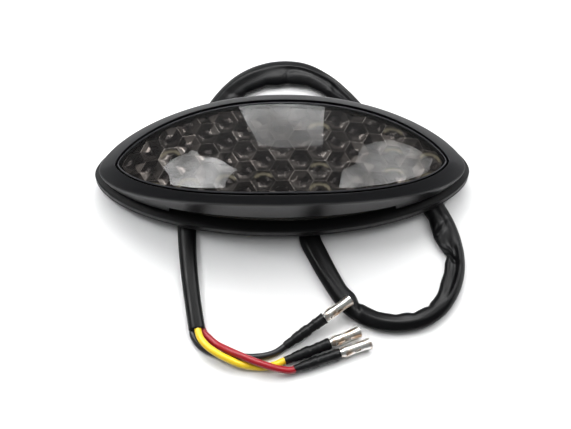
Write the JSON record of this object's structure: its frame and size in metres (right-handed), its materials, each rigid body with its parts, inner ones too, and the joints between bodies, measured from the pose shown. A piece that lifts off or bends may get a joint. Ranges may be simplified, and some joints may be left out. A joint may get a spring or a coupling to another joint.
{
  "type": "motorcycle tail light",
  "caption": "Cat-eye tail light: arched bezel, smoked lens over a honeycomb optic, plate-light window in the skirt, sleeved lead ending in bullet terminals",
  "frame": {"origin": "middle of the flat back face that seats on the mudguard", "axes": "+Z is the way the lamp shines, X runs along the lamp, -Y is the side of the number-plate window"},
  "size_m": [0.142, 0.1244, 0.037],
  "materials": {
    "satin_black": "satin moulded black",
    "black_rubber": "matt",
    "soft_black": "soft satin vinyl",
    "smoked_clear": "smoked, glossy",
    "clear": "clear, glossy",
    "metallised": "bright",
    "board_green": "coated board",
    "led_red": "tinted dome",
    "led_white": "white package",
    "component": "coated ceramic",
    "zinc": "zinc plated",
    "brass": "turned",
    "tinned": "bright tinned",
    "wire_black": "insulation",
    "wire_yellow": "insulation",
    "wire_red": "insulation"
  },
  "bodies": {
    "root": {"base_housing": "satin_black", "bezel": "satin_black", "base_gasket": "black_rubber", "lens_seal": "black_rubber", "cable_grommet": "black_rubber", "cable_sleeve": "soft_black", "heat_shrink_black": "soft_black", "heat_shrink_yellow": "soft_black", "heat_shrink_red": "soft_black", "lens": "smoked_clear", "honeycomb_optic": "clear", "plate_light_window": "clear", "reflector": "metallised", "led_board": "board_green", "led_red_01": "led_red", "led_red_02": "led_red", "led_red_03": "led_red", "led_red_04": "led_red", "led_red_05": "led_red", "led_red_06": "led_red", "led_red_07": "led_red", "led_red_08": "led_red", "led_red_09": "led_red", "led_red_10": "led_red", "led_red_11": "led_red", "led_red_12": "led_red", "led_red_13": "led_red", "led_white_1": "led_white", "led_white_2": "led_white", "led_white_3": "led_white", "resistor_1": "component", "resistor_2": "component", "resistor_3": "component", "board_screw_left": "zinc", "board_screw_right": "zinc", "bezel_screw_left": "zinc", "bezel_screw_right": "zinc", "mounting_insert_left": "brass", "mounting_insert_right": "brass", "bullet_terminal_black": "tinned", "bullet_terminal_yellow": "tinned", "bullet_terminal_red": "tinned", "wire_black": "wire_black", "inner_lead_black": "wire_black", "diode": "wire_black", "wire_yellow": "wire_yellow", "inner_lead_yellow": "wire_yellow", "wire_red": "wire_red", "inner_lead_red": "wire_red"}
  },
  "joints": []
}
